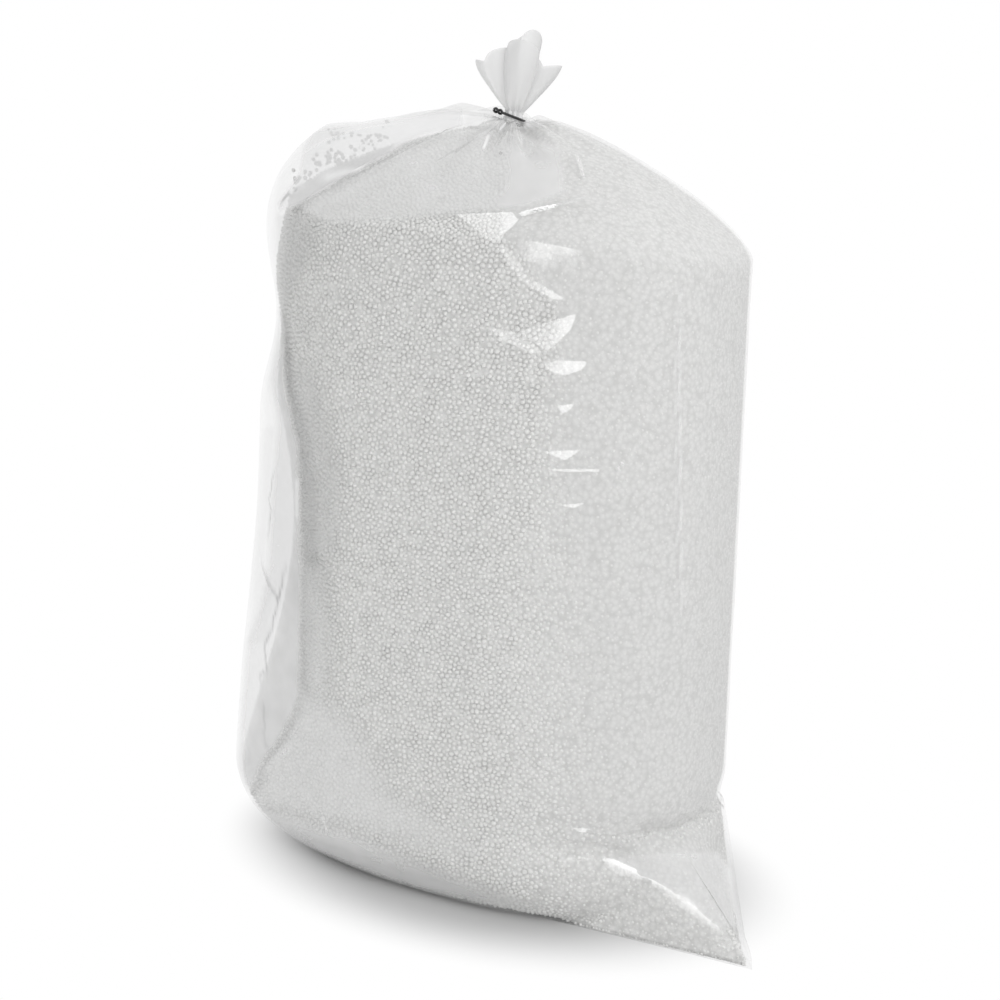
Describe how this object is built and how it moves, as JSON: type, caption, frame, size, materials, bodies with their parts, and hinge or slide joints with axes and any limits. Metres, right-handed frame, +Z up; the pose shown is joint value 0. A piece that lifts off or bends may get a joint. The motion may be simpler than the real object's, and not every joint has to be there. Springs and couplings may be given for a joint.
{
  "type": "bag of bean bag filler",
  "caption": "Tall clear film bag packed with white polystyrene beads, its neck gathered and tied with a black wire tie; a refill bag for bean bag seats, standing on its flat base.",
  "frame": {"origin": "a point of the flat base, near its middle and under the neck", "axes": "+Z up, towards the tied neck; +X along the broad front, towards the ear; -Y out of the broad front"},
  "size_m": [0.6248, 0.3298, 0.8495],
  "materials": {
    "clear_film": "thin clear polyethylene film, slightly hazy and glossy, with fine wrinkles",
    "polystyrene_beads": "white expanded polystyrene beads, matt",
    "tie_coating": "black plastic-coated wire"
  },
  "bodies": {
    "root": {"film_bag": "clear_film", "bead_fill": "polystyrene_beads", "neck_tie": "tie_coating"}
  },
  "joints": []
}
